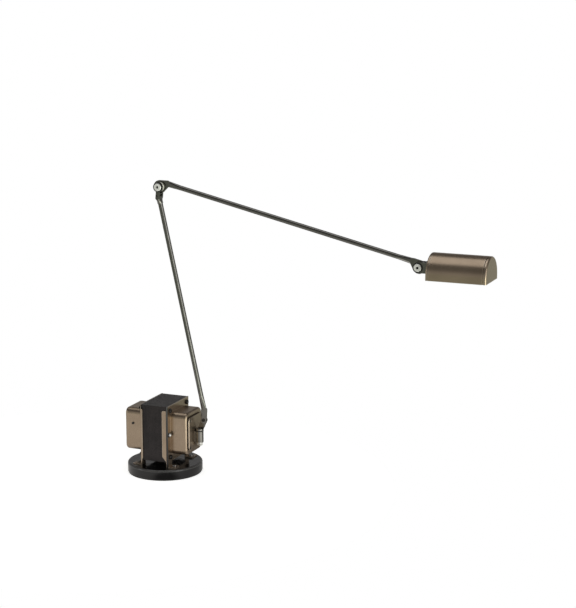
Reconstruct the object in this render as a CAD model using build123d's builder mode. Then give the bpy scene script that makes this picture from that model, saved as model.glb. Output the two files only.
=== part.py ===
from build123d import *
import os

# Low-voltage desk lamp that stands on its own transformer, millimetres, +Z up.
# The origin is the centre of the foot's underside. +X runs along the transformer towards the
# shade, +Y goes to the back. The two thin arms and the shade lie in the plane Y = 0.

os.makedirs("parts", exist_ok=True)

# ---------------------------------------------------------------- driving dimensions
# Foot disc and its pad
disc_radius = 55.5
disc_thickness = 14.7
disc_round = 2.4
disc_chamfer = 0.8
pad_radius = 54.6
pad_thickness = 1.0

# Laminated core: width along Y, height along Z, stack along X
core_width = 70.0
core_height = 84.0
core_stack = 42.0
core_lift = 7.6
centre_leg = 28.0
window_height = 14.0
yoke_width = 14.0
core_bolt_inset = 7.0
core_bolt_radius = 2.0
core_bolt_head_radius = 3.5
core_bolt_head_height = 2.6
core_bolt_dome = 1.4
core_bolt_tail = 1.5
core_nut_thickness = 3.2

# Bobbin and windings round the centre leg
bobbin_wall = 1.3
bobbin_gap = 0.3
winding_depth = 11.5
winding_corner = 4.0

# Drawn end bells
sheet = 1.5
bulge_side_margin = 9.0
bulge_end_margin = 10.2
bulge_corner = 8.0
bulge_edge = 3.6
left_bulge_depth = 31.2
right_bulge_depth = 27.4
lip_top_drop = 6.0
left_lip_width = 4.1
right_lip_width = 8.8
lip_corner = 2.5
fold_radius = 2.2
lip_slope = 1.13
lip_foot_rise = 1.5
leg_width = 14.0
leg_edge = 2.7
foot_tab_length = 13.5
foot_screw_reach = 29.0
foot_screw_radius = 2.0
foot_screw_head_radius = 3.8
foot_screw_head_height = 2.4
foot_screw_depth = 9.0
foot_screw_dome = 1.2
screw_slot_width = 0.8
screw_slot_depth = 1.0
hole_end_gap = 1.0
rivet_gap = 0.25

# Earth screw on the right bell and terminal screw on the left one
earth_screw_drop = 0.8
earth_screw_radius = 1.6
earth_head_radius = 2.4
earth_head_height = 2.6
earth_dome = 1.6
earth_screw_length = 7.0
earth_hole_depth = 9.0
earth_washer_radius = 3.4
earth_washer_thickness = 0.9
terminal_reach = 39.1
terminal_rise = 9.5
terminal_screw_radius = 1.25
terminal_head_radius = 1.9
terminal_head_height = 1.0
terminal_screw_grip = 10.0
terminal_block_length = 8.0
terminal_block_width = 12.0
terminal_block_height = 14.0

# Rocker switch and cable gland on the left bell's end
rocker_frame_width = 15.0
rocker_frame_height = 21.0
rocker_frame_thickness = 1.8
rocker_frame_corner = 1.5
rocker_body_depth = 12.5
rocker_well_depth = 6.5
rocker_body_inset = 1.0
rocker_wall = 1.4
rocker_clearance = 0.3
rocker_swing_room = 0.5
rocker_rise = 10.0
rocker_tilt = 8.0
rocker_crest = 4.5
rocker_dip = 3.0
rocker_skirt = 1.0
rocker_keel = 4.0
rocker_pivot_radius = 1.0
rocker_pin_cover = 0.4
rocker_pin_gap = 0.3
gland_drop = 19.0
gland_radius = 5.5
gland_length = 9.0
gland_edge = 1.2
gland_tail = 1.0
gland_thread_radius = 4.0
gland_bore_radius = 2.9
gland_nut_radius = 6.5
gland_nut_thickness = 3.0

# Insulating gasket and end plate on the right bell
gasket_thickness = 1.9
gasket_inset = 1.0
plate_thickness = 1.3
plate_side_margin = 2.6
plate_end_margin = 6.8
plate_corner = 6.0
plate_edge = 0.5
plate_screw_inset = 4.5
plate_screw_radius = 1.25
plate_screw_head_radius = 2.3
plate_screw_cone = 1.05
plate_screw_tail = 1.5

# Swivel at the right end, its barrel measured from the core's middle height
swivel_clearance = 0.4
barrel_radius = 5.5
barrel_drop = 15.3
barrel_length = 16.0
barrel_saddle_half_width = 4.0
barrel_screw_spread = 8.0
barrel_screw_radius = 1.5
barrel_screw_head_radius = 2.6
barrel_screw_head_height = 1.8
barrel_screw_bite = 2.2
swivel_pin_radius = 3.0
swivel_pin_tail = 1.0
running_fit = 0.05
face_gap = 0.05
swivel_washer_thickness = 1.9
swivel_washer_radius = 5.7
swivel_foot_thickness = 2.2
swivel_foot_radius = 5.7
swivel_ear_thickness = 2.0
swivel_ear_root = 4.2
swivel_nut_radius = 4.6
swivel_nut_thickness = 3.2
spring_washer_thickness = 1.2
spring_washer_radius = 4.8

# Pivots of the arms, in the plane Y = 0, each from the one before it
base_pivot_forward = 6.7
base_pivot_rise = 18.5
elbow_back = 66.1
elbow_rise = 341.7
head_forward = 394.4
head_drop = 89.8

# Arms: round tube with flattened ends, set off from the line between the pivots
tube_radius = 3.5
tube_bore_radius = 2.7
lead_radius = 1.9
lead_end_gap = 2.0
flat_half_width = 4.5
flat_thickness = 3.0
flat_length = 15.0
ear_neck_length = 10.5
taper_length = 22.0
arm_ear_radius = 9.5
lower_base_offset = 4.0
lower_elbow_offset = 5.0
upper_elbow_offset = 7.4
upper_head_offset = 5.0

# Forks at the elbow and at the head
ear_radius = 7.5
ear_thickness = 2.0
fork_inner_half = 5.0
fork_root = 15.5
fork_throat = 24.0
fork_shank_radius = 2.7
fork_neck_radius = 4.2
fork_block_corner = 1.2
fork_spigot_length = 10.0
spacer_radius = 7.0
sleeve_radius = 2.95
bolt_radius = 2.0
bolt_head_radius = 5.4
bolt_head_height = 1.6
bolt_head_edge = 0.4
bolt_washer_radius = 7.3
bolt_washer_thickness = 0.6
socket_across_flats = 3.4
socket_depth = 1.4
stop_pin_radius = 1.25
stop_pin_distance = 12.6
stop_pin_overhang = 0.4
stop_pin_fit = 0.02

# Tilt joint at the lower arm's foot
tilt_washer_thickness = 0.3
tilt_washer_radius = 4.2
tilt_screw_radius = 1.7
tilt_head_radius = 2.6
tilt_head_height = 0.8
tilt_nut_radius = 2.9
tilt_nut_thickness = 1.4

# Head fork, roll spindle and shade
fork_web_gap = 1.6
fork_web_thickness = 3.6
fork_web_half_height = 7.5
fork_web_half_width = 7.0
spindle_radius = 4.0
spindle_bore_radius = 2.0
spindle_tail = 1.0
roll_washer_radius = 7.0
roll_washer_thickness = 2.4
roll_nut_radius = 6.0
roll_nut_thickness = 4.0
shade_length = 85.6
shade_radius = 28.0
shade_side = 6.5
shade_drop = 13.0
shade_sheet = 1.2
cap_wall = 1.2
cap_rim = 3.6
cap_edge = 2.4
cap_spigot = 4.2
cap_fit = 0.1
left_seam = 0.5
right_seam = 1.8
reflector_sheet = 0.6
reflector_tuck = 2.4
reflector_side_cut = 1.5

# Lamp holder on its strap, and the capsule lamp
holder_length = 16.0
holder_width = 13.0
holder_height = 11.0
holder_rise = 7.3
holder_setback = 1.8
holder_edge = 1.0
strap_width = 11.0
strap_thickness = 1.2
strap_drop = 7.3
strap_rivet_radius = 1.2
strap_rivet_head_radius = 2.0
strap_rivet_head_height = 0.9
strap_rivet_spread = 6.0
strap_rivet_drop = 3.4
holder_screw_radius = 1.2
holder_screw_head_radius = 2.2
holder_screw_head_height = 1.2
holder_screw_spread = 8.0
holder_screw_length = 5.0
capsule_radius = 5.5
capsule_length = 21.0
capsule_pinch_length = 6.0
capsule_pinch_width = 9.0
capsule_pinch_thickness = 3.2
capsule_pinch_gap = 0.3
capsule_pin_radius = 0.5
capsule_pin_length = 7.0
capsule_pin_spread = 6.35
lamp_lead_radius = 0.6
lamp_lead_spread = 1.8
lamp_lead_bend = 1.6
lamp_lead_reach = 7.0

# ---------------------------------------------------------------- places that follow
disc_top = pad_thickness + disc_thickness
core_low = disc_top + core_lift
core_mid = core_low + core_height / 2
half_stack = core_stack / 2
half_core_width = core_width / 2
window_length = core_width - 2 * yoke_width
bulge_half_width = half_core_width - bulge_side_margin
bulge_half_height = core_height / 2 - bulge_end_margin
plate_half_width = bulge_half_width - plate_side_margin
plate_half_height = bulge_half_height - plate_end_margin
bolt_y = half_core_width - core_bolt_inset
bolt_z = core_height / 2 - core_bolt_inset
flange_face = half_stack + sheet
left_end_x = -half_stack - left_bulge_depth
right_end_x = half_stack + right_bulge_depth
plate_back = right_end_x + gasket_thickness
plate_front = plate_back + plate_thickness
swivel_x = plate_front + swivel_clearance + barrel_radius
earth_screw_y = (bulge_half_width + half_core_width + sheet) / 2
barrel_low = core_mid - barrel_drop
barrel_high = barrel_low + barrel_length
joint_half = fork_inner_half + ear_thickness
head_seat = joint_half + bolt_washer_thickness
ear_half = flat_thickness / 2

base_pivot = Vector(swivel_x + base_pivot_forward, 0, core_mid + base_pivot_rise)
elbow = base_pivot + Vector(-elbow_back, 0, elbow_rise)
head = elbow + Vector(head_forward, 0, -head_drop)

lower_line = (elbow - base_pivot).normalized()
lower_side = Vector(lower_line.Z, 0, -lower_line.X)
lower_foot = base_pivot + lower_side * lower_base_offset
lower_top = elbow - lower_side * lower_elbow_offset
lower_axis = (lower_top - lower_foot).normalized()
lower_length = (lower_top - lower_foot).length

upper_line = (head - elbow).normalized()
upper_side = Vector(-upper_line.Z, 0, upper_line.X)
upper_start = elbow + upper_side * upper_elbow_offset
upper_end = head + upper_side * upper_head_offset
upper_axis = (upper_end - upper_start).normalized()
upper_length = (upper_end - upper_start).length

web_start = head.X + arm_ear_radius + fork_web_gap
web_end = web_start + fork_web_thickness
shade_start = web_end + roll_washer_thickness
shade_end = shade_start + shade_length
shade_floor = head.Z - shade_drop
shade_centre_z = shade_floor + shade_side


# ---------------------------------------------------------------- helpers
def upright(depth):
    """Upright sketch plane at the given Y; extruding from it goes to the front."""
    return Plane.XZ.offset(-depth)


def end_plane(x, side):
    """Sketch plane across the lamp at x, facing away from the core, with +Z up."""
    return Plane(origin=(x, 0, core_mid), x_dir=(0, side, 0), z_dir=(side, 0, 0))


def facing_right(x):
    """Sketch plane across the lamp at x, facing +X, with its middle on the ground."""
    return Plane(origin=(x, 0, 0), x_dir=(0, 1, 0), z_dir=(1, 0, 0))


def across_arm(point, axis):
    """Sketch plane square to an arm, with its own x along Y."""
    return Plane(origin=point, x_dir=(0, 1, 0), z_dir=axis)


def ring(centre, front, back, outer, bore):
    """Flat ring on a pivot: centre gives X and Z, front and back are depths."""
    with BuildPart() as made:
        with BuildSketch(upright(back)):
            with Locations((centre.X, centre.Z)):
                Circle(outer)
                Circle(bore, mode=Mode.SUBTRACT)
        extrude(amount=back - front)
    return made.part


def connector_bolt(centre):
    """Flat-headed bolt from the front with a hexagon socket."""
    head_face = -head_seat - bolt_head_height
    with BuildPart() as made:
        with BuildSketch(upright(-head_seat)):
            with Locations((centre.X, centre.Z)):
                Circle(bolt_head_radius)
        extrude(amount=bolt_head_height)
        chamfer(made.faces().sort_by(Axis.Y)[0].edges(), bolt_head_edge)
        with BuildSketch(upright(ear_half)):
            with Locations((centre.X, centre.Z)):
                Circle(bolt_radius)
        extrude(amount=ear_half + head_seat)
        with BuildSketch(upright(head_face)):
            with Locations((centre.X, centre.Z)):
                RegularPolygon(socket_across_flats / 2, 6, major_radius=False)
        extrude(amount=-socket_depth, mode=Mode.SUBTRACT)
    return made.part


def sleeve_nut(centre):
    """Flat-headed sleeve nut from the back; its barrel is the joint's shaft."""
    with BuildPart() as made:
        with BuildSketch(upright(head_seat + bolt_head_height)):
            with Locations((centre.X, centre.Z)):
                Circle(bolt_head_radius)
        extrude(amount=bolt_head_height)
        chamfer(made.faces().sort_by(Axis.Y)[-1].edges(), bolt_head_edge)
        with BuildSketch(upright(head_seat)):
            with Locations((centre.X, centre.Z)):
                Circle(sleeve_radius)
        extrude(amount=2 * head_seat - face_gap)
        with BuildSketch(upright(head_seat)):
            with Locations((centre.X, centre.Z)):
                Circle(bolt_radius + running_fit)
        extrude(amount=2 * head_seat, mode=Mode.SUBTRACT)
    return made.part


def joint_spacers(centre):
    """Pair of friction rings between the middle ear and the fork's cheeks."""
    bore = sleeve_radius + running_fit
    near = ear_half + face_gap
    far = fork_inner_half - face_gap
    with BuildPart() as made:
        for back in (-near, far):
            with BuildSketch(upright(back)):
                with Locations((centre.X, centre.Z)):
                    Circle(spacer_radius)
                    Circle(bore, mode=Mode.SUBTRACT)
            extrude(amount=far - near)
    return made.part


def bolt_washers(centre):
    """Pair of black washers on the fork's cheeks, under the bolt's and the nut's heads."""
    with BuildPart() as made:
        for back in (-joint_half, head_seat):
            with BuildSketch(upright(back)):
                with Locations((centre.X, centre.Z)):
                    Circle(bolt_washer_radius)
                    Circle(sleeve_radius + running_fit, mode=Mode.SUBTRACT)
            extrude(amount=bolt_washer_thickness)
    return made.part


def flattened_end(pivot, foot, axis, radius, bore, reach):
    """Flattened end of a tube: an ear round the pivot that narrows to the tube's line."""
    with BuildPart() as made:
        with BuildSketch(upright(ear_half)):
            neck = foot + axis * reach
            with Locations((pivot.X, pivot.Z)):
                Circle(radius)
            with Locations((neck.X, neck.Z)):
                Circle(flat_half_width)
            make_hull()
            with Locations((pivot.X, pivot.Z)):
                Circle(bore, mode=Mode.SUBTRACT)
        extrude(amount=flat_thickness)
        with BuildSketch(across_arm(neck, axis)):
            Ellipse(ear_half, flat_half_width)
        with BuildSketch(across_arm(neck + axis * taper_length, axis)):
            Circle(tube_radius)
        loft()
    return made.part


def arm_tube(start, axis, length):
    """Straight round tube with a blind bore for its lead."""
    with BuildPart() as made:
        with BuildSketch(across_arm(start, axis)):
            Circle(tube_radius)
            Circle(tube_bore_radius, mode=Mode.SUBTRACT)
        extrude(amount=length)
    return made.part


def lead(start, axis, length):
    """Insulated lead that lies inside a tube."""
    with BuildPart() as made:
        with BuildSketch(across_arm(start, axis)):
            Circle(lead_radius)
        extrude(amount=length)
    return made.part


def write(part, name):
    """Label a finished piece and write it out."""
    part.label = name
    export_step(part, "parts/" + name + ".step")


# ---------------------------------------------------------------- foot
# Turned iron disc with blind holes for the feet's screws.
with BuildPart() as base_disc:
    with BuildSketch(Plane.XY.offset(pad_thickness)):
        Circle(disc_radius)
    extrude(amount=disc_thickness)
    fillet(base_disc.edges().filter_by(GeomType.CIRCLE).sort_by(Axis.Z)[-1], disc_round)
    chamfer(base_disc.edges().filter_by(GeomType.CIRCLE).sort_by(Axis.Z)[0], disc_chamfer)
    with BuildSketch(Plane.XY.offset(disc_top)):
        with GridLocations(2 * foot_screw_reach, 2 * bolt_y, 2, 2):
            Circle(foot_screw_radius + rivet_gap)
    extrude(amount=-foot_screw_depth, mode=Mode.SUBTRACT)
write(base_disc.part, "base_disc")

# Felt pad under the disc.
with BuildPart() as base_pad:
    with BuildSketch(Plane.XY):
        Circle(pad_radius)
    extrude(amount=pad_thickness)
write(base_pad.part, "base_pad")

# Four pan-head screws that hold the bells' feet to the disc.
with BuildPart() as foot_screws:
    with BuildSketch(Plane.XY.offset(disc_top + sheet)):
        with GridLocations(2 * foot_screw_reach, 2 * bolt_y, 2, 2):
            Circle(foot_screw_head_radius)
    extrude(amount=foot_screw_head_height)
    fillet(foot_screws.faces().filter_by(Axis.Z).group_by(Axis.Z)[-1].edges(), foot_screw_dome)
    with BuildSketch(Plane.XY.offset(disc_top + sheet)):
        with GridLocations(2 * foot_screw_reach, 2 * bolt_y, 2, 2):
            Circle(foot_screw_radius)
    extrude(amount=-sheet - foot_screw_depth + hole_end_gap)
    with BuildSketch(Plane.XY.offset(disc_top + sheet + foot_screw_head_height)):
        with GridLocations(2 * foot_screw_reach, 2 * bolt_y, 2, 2):
            Rectangle(2 * foot_screw_head_radius, screw_slot_width)
    extrude(amount=-screw_slot_depth, mode=Mode.SUBTRACT)
write(foot_screws.part, "foot_screws")

# ---------------------------------------------------------------- transformer
# Stack of laminations with two windows and four bolt holes, all along X.
with BuildPart() as core:
    with BuildSketch(end_plane(-half_stack, 1)):
        Rectangle(core_width, core_height)
        with Locations((0, centre_leg / 2 + window_height / 2), (0, -centre_leg / 2 - window_height / 2)):
            Rectangle(window_length, window_height, mode=Mode.SUBTRACT)
        with GridLocations(2 * bolt_y, 2 * bolt_z, 2, 2):
            Circle(core_bolt_radius + rivet_gap, mode=Mode.SUBTRACT)
    extrude(amount=core_stack)
    with BuildSketch(end_plane(half_stack, 1)):
        with Locations((-earth_screw_y, -earth_screw_drop)):
            Circle(earth_screw_radius + rivet_gap)
    extrude(amount=-earth_hole_depth, mode=Mode.SUBTRACT)
write(core.part, "core")

# Bobbin: a box-shaped tube round the centre leg with three flanges, its axis along Y.
tube_half_x = half_stack + bobbin_gap + bobbin_wall
tube_half_z = centre_leg / 2 + bobbin_gap + bobbin_wall
flange_half_x = half_stack + window_height - bobbin_gap
flange_half_z = centre_leg / 2 + window_height - bobbin_gap
bobbin_half = window_length / 2 - bobbin_gap
chamber = (2 * bobbin_half - 3 * bobbin_wall) / 2
with BuildPart() as bobbin:
    with BuildSketch(upright(bobbin_half)):
        with Locations((0, core_mid)):
            Rectangle(2 * tube_half_x, 2 * tube_half_z)
    extrude(amount=2 * bobbin_half)
    for back in (bobbin_half, bobbin_wall / 2, bobbin_wall - bobbin_half):
        with BuildSketch(upright(back)):
            with Locations((0, core_mid)):
                Rectangle(2 * flange_half_x, 2 * flange_half_z)
        extrude(amount=bobbin_wall)
    with BuildSketch(upright(bobbin_half)):
        with Locations((0, core_mid)):
            Rectangle(core_stack + 2 * bobbin_gap, centre_leg + 2 * bobbin_gap)
    extrude(amount=2 * bobbin_half, mode=Mode.SUBTRACT)
write(bobbin.part, "bobbin")


def winding(back):
    """One winding, a closed block of wire round the bobbin's tube, back at this depth."""
    with BuildPart() as made:
        with BuildSketch(upright(back)):
            with Locations((0, core_mid)):
                half_x = tube_half_x + winding_depth
                half_z = tube_half_z + winding_depth
                RectangleRounded(2 * half_x, 2 * half_z, winding_corner)
                Rectangle(2 * tube_half_x, 2 * tube_half_z, mode=Mode.SUBTRACT)
        extrude(amount=chamber)
    return made.part


write(winding(bobbin_half - bobbin_wall), "primary_winding")
write(winding(-bobbin_wall / 2), "secondary_winding")

# Four bolts through both bells and the core, domed heads at the right, nuts at the left.
with BuildPart() as core_bolts:
    with BuildSketch(end_plane(flange_face, 1)):
        with GridLocations(2 * bolt_y, 2 * bolt_z, 2, 2):
            Circle(core_bolt_head_radius)
    extrude(amount=core_bolt_head_height)
    fillet(core_bolts.faces().filter_by(Axis.X).group_by(Axis.X)[-1].edges(), core_bolt_dome)
    with BuildSketch(end_plane(flange_face, 1)):
        with GridLocations(2 * bolt_y, 2 * bolt_z, 2, 2):
            Circle(core_bolt_radius)
    extrude(amount=-2 * flange_face - core_nut_thickness - core_bolt_tail)
write(core_bolts.part, "core_bolts")

with BuildPart() as core_nuts:
    with BuildSketch(end_plane(-flange_face, -1)):
        with GridLocations(2 * bolt_y, 2 * bolt_z, 2, 2):
            RegularPolygon(core_bolt_head_radius, 6)
            Circle(core_bolt_radius + running_fit, mode=Mode.SUBTRACT)
    extrude(amount=core_nut_thickness)
write(core_nuts.part, "core_nuts")


# ---------------------------------------------------------------- end bells
def bulge_block(side, depth, inset):
    """Rounded block of a bell's bulge, or of its hollow where the inset is the sheet."""
    half_width = bulge_half_width - inset
    half_height = bulge_half_height - inset
    with BuildPart() as made:
        with BuildSketch(end_plane(side * half_stack, side)):
            RectangleRounded(2 * half_width, 2 * half_height, bulge_corner - inset)
        extrude(amount=depth - inset)
        end_face = made.faces().filter_by(Axis.X).sort_by(Axis.X)[-1 if side > 0 else 0]
        fillet(end_face.edges(), bulge_edge - inset)
    return made.part


def end_bell(side, depth, lip_width):
    """Drawn sheet cover over one end of the core, with lips, legs and screwed feet."""
    lip_top = core_low + core_height - lip_top_drop
    lip_foot = core_low + lip_foot_rise
    out = side * flange_face
    inner = side * (flange_face - lip_width)
    leg_in = side * (flange_face - leg_edge)
    slant_top = lip_foot + (lip_width - leg_edge) * lip_slope
    leg_middle = half_core_width + sheet - leg_width / 2
    tab_middle = side * (half_stack + foot_tab_length / 2)
    screw_x = side * foot_screw_reach
    outer = bulge_block(side, depth, 0)
    hollow = bulge_block(side, depth, sheet)
    with BuildPart() as made:
        with BuildSketch(end_plane(side * half_stack, side)):
            Rectangle(core_width + 2 * sheet, core_height)
            with Locations((0, -(core_height + core_lift) / 2)):
                with GridLocations(2 * leg_middle, core_lift, 2, 1):
                    Rectangle(leg_width, core_lift)
        extrude(amount=sheet)
        add(outer)
        add(hollow, mode=Mode.SUBTRACT)
        for back in (-half_core_width, half_core_width + sheet):
            with BuildSketch(upright(back)) as lip:
                with BuildLine():
                    Polyline(
                        (out, lip_top),
                        (inner, lip_top),
                        (inner, slant_top),
                        (leg_in, lip_foot),
                        (leg_in, disc_top),
                        (out, disc_top),
                        close=True,
                    )
                make_face()
                fillet(lip.vertices().sort_by_distance((inner, lip_top))[0], lip_corner)
            extrude(amount=sheet)
        side_folds = [
            edge
            for edge in made.edges().filter_by(Axis.Z)
            if abs(edge.center().X - out) < face_gap
            and abs(edge.center().Y) > half_core_width + sheet - face_gap
        ]
        fillet(side_folds, fold_radius)
        with BuildSketch(Plane.XY.offset(disc_top)):
            with Locations((tab_middle, leg_middle), (tab_middle, -leg_middle)):
                Rectangle(foot_tab_length, leg_width)
            with Locations((screw_x, bolt_y), (screw_x, -bolt_y)):
                Circle(foot_screw_radius + rivet_gap, mode=Mode.SUBTRACT)
        extrude(amount=sheet)
        with BuildSketch(end_plane(side * half_stack, side)):
            with GridLocations(2 * bolt_y, 2 * bolt_z, 2, 2):
                Circle(core_bolt_radius + rivet_gap)
        extrude(amount=sheet, mode=Mode.SUBTRACT)
    return made.part


# Left bell: its end has the openings of the switch and the gland, its front a terminal screw.
switch_body_width = rocker_frame_width - 2 * rocker_body_inset
switch_body_height = rocker_frame_height - 2 * rocker_body_inset
left_shell = end_bell(-1, left_bulge_depth, left_lip_width)
with BuildPart() as left_bell:
    add(left_shell)
    with BuildSketch(end_plane(left_end_x, -1)):
        with Locations((0, rocker_rise)):
            Rectangle(switch_body_width + 2 * rivet_gap, switch_body_height + 2 * rivet_gap)
        with Locations((0, -gland_drop)):
            Circle(gland_thread_radius + rivet_gap)
    extrude(amount=-sheet, mode=Mode.SUBTRACT)
    with BuildSketch(upright(-bulge_half_width)):
        with Locations((-terminal_reach, core_mid + terminal_rise)):
            Circle(terminal_screw_radius + rivet_gap)
    extrude(amount=-sheet, mode=Mode.SUBTRACT)
write(left_bell.part, "left_bell")

# Right bell: its end carries the insulated plate, and its flange the earth screw.
plate_screw_y = plate_half_width - plate_screw_inset
plate_screw_z = plate_half_height - plate_screw_inset
barrel_middle = (barrel_low + barrel_high) / 2 - core_mid
right_shell = end_bell(1, right_bulge_depth, right_lip_width)
with BuildPart() as right_bell:
    add(right_shell)
    with BuildSketch(end_plane(right_end_x, 1)):
        with GridLocations(2 * plate_screw_y, 2 * plate_screw_z, 2, 2):
            Circle(plate_screw_radius + rivet_gap)
        with Locations((0, barrel_middle)):
            with GridLocations(1, barrel_screw_spread, 1, 2):
                Circle(barrel_screw_radius + rivet_gap)
    extrude(amount=-sheet, mode=Mode.SUBTRACT)
    with BuildSketch(end_plane(flange_face, 1)):
        with Locations((-earth_screw_y, -earth_screw_drop)):
            Circle(earth_screw_radius + rivet_gap)
    extrude(amount=-sheet, mode=Mode.SUBTRACT)
write(right_bell.part, "right_bell")

# Earth screw with its black washer on the right flange.
earth_seat = flange_face + earth_washer_thickness
with BuildPart() as earth_washer:
    with BuildSketch(end_plane(flange_face, 1)):
        with Locations((-earth_screw_y, -earth_screw_drop)):
            Circle(earth_washer_radius)
            Circle(earth_screw_radius + running_fit, mode=Mode.SUBTRACT)
    extrude(amount=earth_washer_thickness)
write(earth_washer.part, "earth_washer")

with BuildPart() as earth_screw:
    with BuildSketch(end_plane(earth_seat, 1)):
        with Locations((-earth_screw_y, -earth_screw_drop)):
            Circle(earth_head_radius)
    extrude(amount=earth_head_height)
    fillet(earth_screw.faces().sort_by(Axis.X)[-1].edges(), earth_dome)
    with BuildSketch(end_plane(earth_seat, 1)):
        with Locations((-earth_screw_y, -earth_screw_drop)):
            Circle(earth_screw_radius)
    extrude(amount=-earth_washer_thickness - sheet - earth_screw_length)
write(earth_screw.part, "earth_screw")

# Terminal block behind the left bell's front wall, and the small screw that holds it.
block_back = sheet - bulge_half_width + terminal_block_width
with BuildPart() as terminal_block:
    with BuildSketch(upright(block_back)):
        with Locations((-terminal_reach, core_mid + terminal_rise)):
            Rectangle(terminal_block_length, terminal_block_height)
            Circle(terminal_screw_radius + running_fit, mode=Mode.SUBTRACT)
    extrude(amount=terminal_block_width)
write(terminal_block.part, "terminal_block")

with BuildPart() as terminal_screw:
    with BuildSketch(upright(-bulge_half_width)):
        with Locations((-terminal_reach, core_mid + terminal_rise)):
            Circle(terminal_head_radius)
    extrude(amount=terminal_head_height)
    with BuildSketch(upright(-bulge_half_width)):
        with Locations((-terminal_reach, core_mid + terminal_rise)):
            Circle(terminal_screw_radius)
    extrude(amount=-sheet - terminal_screw_grip)
write(terminal_screw.part, "terminal_screw")

# ---------------------------------------------------------------- switch and cable gland
switch_mid = core_mid + rocker_rise
frame_face = left_end_x - rocker_frame_thickness
well_half_width = switch_body_width / 2 - rocker_wall
well_half_height = switch_body_height / 2 - rocker_wall
rocker_half_width = well_half_width - rocker_clearance
rocker_half_height = well_half_height - rocker_clearance - rocker_swing_room
pin_hole_half = switch_body_width / 2 - rocker_pin_cover
with BuildPart() as rocker_frame:
    with BuildSketch(end_plane(left_end_x, -1)):
        with Locations((0, rocker_rise)):
            RectangleRounded(rocker_frame_width, rocker_frame_height, rocker_frame_corner)
    extrude(amount=rocker_frame_thickness)
    with BuildSketch(end_plane(left_end_x, -1)):
        with Locations((0, rocker_rise)):
            Rectangle(switch_body_width, switch_body_height)
    extrude(amount=-rocker_body_depth)
    with BuildSketch(end_plane(frame_face, -1)):
        with Locations((0, rocker_rise)):
            Rectangle(2 * well_half_width, 2 * well_half_height)
    extrude(amount=-rocker_frame_thickness - rocker_well_depth, mode=Mode.SUBTRACT)
    with BuildSketch(upright(pin_hole_half)):
        with Locations((left_end_x, switch_mid)):
            Circle(rocker_pivot_radius + running_fit)
    extrude(amount=2 * pin_hole_half, mode=Mode.SUBTRACT)
write(rocker_frame.part, "rocker_frame")

# Rocker on its pivot pins, drawn face up and then laid on its side in the off position.
with BuildPart() as rocker_block:
    with BuildSketch(upright(rocker_half_width)):
        with BuildLine():
            Line((rocker_half_height, -rocker_skirt), (rocker_half_height, rocker_crest))
            ThreePointArc(
                (rocker_half_height, rocker_crest),
                (0, rocker_dip),
                (-rocker_half_height, rocker_crest),
            )
            Line((-rocker_half_height, rocker_crest), (-rocker_half_height, -rocker_skirt))
            Line((-rocker_half_height, -rocker_skirt), (0, -rocker_keel))
            Line((0, -rocker_keel), (rocker_half_height, -rocker_skirt))
        make_face()
    extrude(amount=2 * rocker_half_width)
    with BuildSketch(upright(pin_hole_half - rocker_pin_gap)):
        Circle(rocker_pivot_radius)
    extrude(amount=2 * (pin_hole_half - rocker_pin_gap))
rocker_turned = rocker_block.part.rotate(Axis.Y, -90 + rocker_tilt)
write(rocker_turned.translate((left_end_x, 0, switch_mid)), "rocker")

# Cable gland through the bell's end with its nut inside.
gland_root = sheet + gland_nut_thickness + gland_tail
with BuildPart() as cable_gland:
    with BuildSketch(end_plane(left_end_x, -1)):
        with Locations((0, -gland_drop)):
            Circle(gland_radius)
    extrude(amount=gland_length)
    fillet(cable_gland.faces().filter_by(Axis.X).sort_by(Axis.X)[0].edges(), gland_edge)
    with BuildSketch(end_plane(left_end_x, -1)):
        with Locations((0, -gland_drop)):
            Circle(gland_thread_radius)
    extrude(amount=-gland_root)
    with BuildSketch(end_plane(left_end_x - gland_length, -1)):
        with Locations((0, -gland_drop)):
            Circle(gland_bore_radius)
    extrude(amount=-gland_length - gland_root, mode=Mode.SUBTRACT)
write(cable_gland.part, "cable_gland")

with BuildPart() as gland_nut:
    with BuildSketch(end_plane(left_end_x + sheet, 1)):
        with Locations((0, -gland_drop)):
            RegularPolygon(gland_nut_radius, 6)
            Circle(gland_thread_radius + running_fit, mode=Mode.SUBTRACT)
    extrude(amount=gland_nut_thickness)
write(gland_nut.part, "gland_nut")

# ---------------------------------------------------------------- end plate and swivel
with BuildPart() as gasket:
    with BuildSketch(end_plane(right_end_x, 1)):
        RectangleRounded(
            2 * (plate_half_width - gasket_inset),
            2 * (plate_half_height - gasket_inset),
            plate_corner,
        )
        with GridLocations(2 * plate_screw_y, 2 * plate_screw_z, 2, 2):
            Circle(plate_screw_radius + rivet_gap, mode=Mode.SUBTRACT)
        with Locations((0, barrel_middle)):
            with GridLocations(1, barrel_screw_spread, 1, 2):
                Circle(barrel_screw_radius + rivet_gap, mode=Mode.SUBTRACT)
    extrude(amount=gasket_thickness)
write(gasket.part, "gasket")

# Plate with bevelled edge and four countersunk holes.
with BuildPart() as end_plate:
    with BuildSketch(end_plane(plate_back, 1)):
        RectangleRounded(2 * plate_half_width, 2 * plate_half_height, plate_corner)
    extrude(amount=plate_thickness)
    chamfer(end_plate.faces().sort_by(Axis.X)[-1].edges(), plate_edge)
    with BuildSketch(end_plane(plate_back, 1)):
        with GridLocations(2 * plate_screw_y, 2 * plate_screw_z, 2, 2):
            Circle(plate_screw_radius + rivet_gap)
        with Locations((0, barrel_middle)):
            with GridLocations(1, barrel_screw_spread, 1, 2):
                Circle(barrel_screw_radius + rivet_gap)
    extrude(amount=plate_thickness, mode=Mode.SUBTRACT)
    with Locations(end_plane(plate_front, 1)):
        with GridLocations(2 * plate_screw_y, 2 * plate_screw_z, 2, 2):
            Cone(
                plate_screw_radius + rivet_gap,
                plate_screw_head_radius + rivet_gap,
                plate_screw_cone,
                align=(Align.CENTER, Align.CENTER, Align.MAX),
                mode=Mode.SUBTRACT,
            )
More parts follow.
